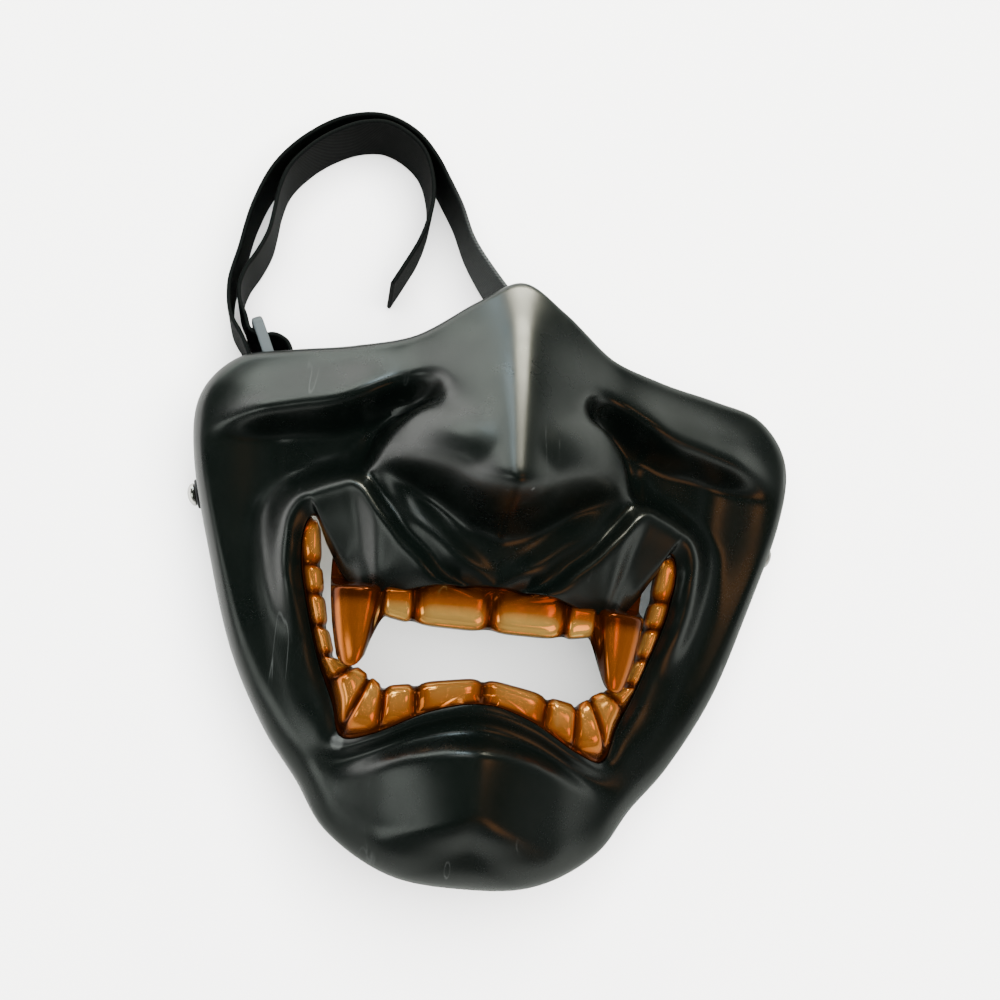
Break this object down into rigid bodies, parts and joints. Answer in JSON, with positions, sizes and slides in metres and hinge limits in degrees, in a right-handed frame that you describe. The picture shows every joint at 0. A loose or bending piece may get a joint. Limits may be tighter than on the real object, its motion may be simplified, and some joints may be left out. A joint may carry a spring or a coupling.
{
  "type": "samurai face guard",
  "caption": "Half mask armour for nose, cheeks and chin with an open snarling mouth, metallic teeth inserts, side rivets and a webbing head strap.",
  "frame": {"origin": "middle of the box of the whole row, at its bottom, which is the floor the mask lies on", "axes": "+X to the right as a viewer sees the face, +Y from the chin to the nose bridge, +Z out of the face, away from the floor"},
  "size_m": [0.1752, 0.2256, 0.0944],
  "materials": {
    "mask_shell": "satin black moulded plastic",
    "upper_teeth": "copper gold chrome coating on plastic",
    "lower_teeth": "copper gold chrome coating on plastic",
    "strap": "black woven webbing",
    "strap_slider": "worn grey moulded plastic",
    "rivet": "nickel plated, domed",
    "rivet_washer": "black rubber"
  },
  "bodies": {
    "root": {"mask_shell": "mask_shell", "upper_teeth": "upper_teeth", "lower_teeth": "lower_teeth", "strap": "strap", "strap_slider": "strap_slider", "rivet_left": "rivet", "rivet_right": "rivet", "rivet_washer_left": "rivet_washer", "rivet_washer_right": "rivet_washer"}
  },
  "joints": []
}
